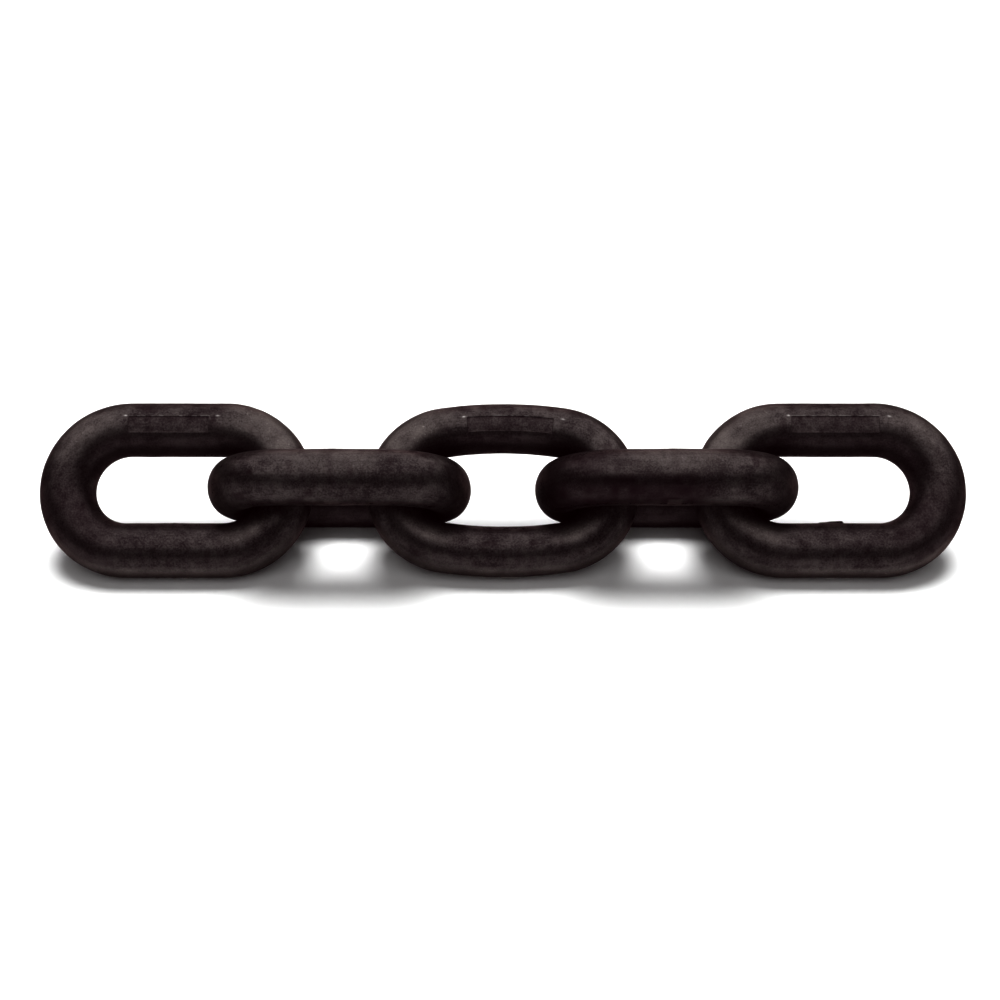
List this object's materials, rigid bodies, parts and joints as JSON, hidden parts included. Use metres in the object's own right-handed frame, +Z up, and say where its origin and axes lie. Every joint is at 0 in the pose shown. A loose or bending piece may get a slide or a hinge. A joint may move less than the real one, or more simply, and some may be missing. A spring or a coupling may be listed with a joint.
{
  "type": "short-link steel chain",
  "caption": "Straight length of black welded short-link steel chain with plain oval links, each threaded through the next and free to swing on it.",
  "frame": {"origin": "under the middle of the chain, on the floor that it lies on", "axes": "+X along the chain towards link_5, +Z up"},
  "size_m": [0.3388, 0.0518, 0.0518],
  "materials": {
    "black_steel": "matt black-brown mill scale under a thin lacquer"
  },
  "bodies": {
    "link_1": {"link_1": "black_steel"},
    "link_2": {"link_2": "black_steel"},
    "link_3": {"link_3": "black_steel"},
    "link_4": {"link_4": "black_steel"},
    "link_5": {"link_5": "black_steel"}
  },
  "joints": [
    {"name": "link_2_swing", "type": "hinge", "parent": "link_1", "child": "link_2", "pos_m": [-0.0794, 0, 0.02591], "axis": [0, 0.7071, 0.7071], "range_deg": [-90, 90]},
    {"name": "link_3_swing", "type": "hinge", "parent": "link_2", "child": "link_3", "pos_m": [-0.0197, 0, 0.02591], "axis": [0, -0.7071, 0.7071], "range_deg": [-90, 90]},
    {"name": "link_4_swing", "type": "hinge", "parent": "link_3", "child": "link_4", "pos_m": [0.04, 0, 0.02591], "axis": [0, 0.7071, 0.7071], "range_deg": [-90, 90]},
    {"name": "link_5_swing", "type": "hinge", "parent": "link_4", "child": "link_5", "pos_m": [0.0997, 0, 0.02591], "axis": [0, -0.7071, 0.7071], "range_deg": [-90, 90]}
  ]
}
